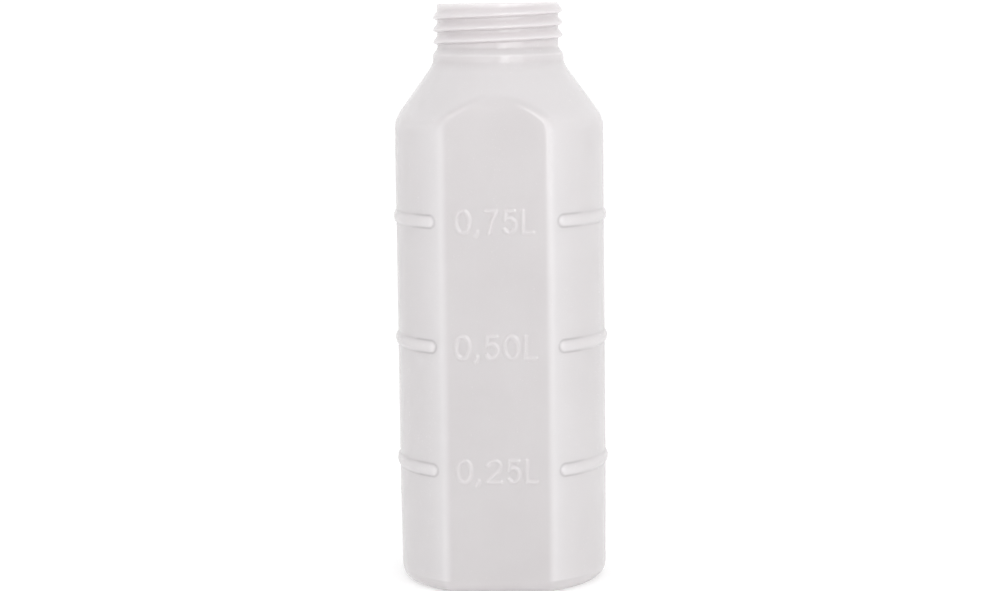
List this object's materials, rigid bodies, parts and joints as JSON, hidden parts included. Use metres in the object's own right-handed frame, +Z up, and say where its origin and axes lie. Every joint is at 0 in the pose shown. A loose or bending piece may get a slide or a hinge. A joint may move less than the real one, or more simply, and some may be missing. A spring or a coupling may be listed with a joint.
{
  "type": "graduated plastic bottle",
  "caption": "Wide neck bottle of milky blown plastic, with an outside screw thread, a flat front and back, and raised volume marks.",
  "frame": {"origin": "middle of the base, on the surface that the bottle stands on", "axes": "+Z up through the neck, -Y towards the flat front with the numerals, +X towards the right round side"},
  "size_m": [0.0876, 0.0709, 0.238],
  "materials": {
    "natural_polyethylene": "satin, milky and slightly see-through"
  },
  "bodies": {
    "root": {"bottle": "natural_polyethylene"}
  },
  "joints": []
}
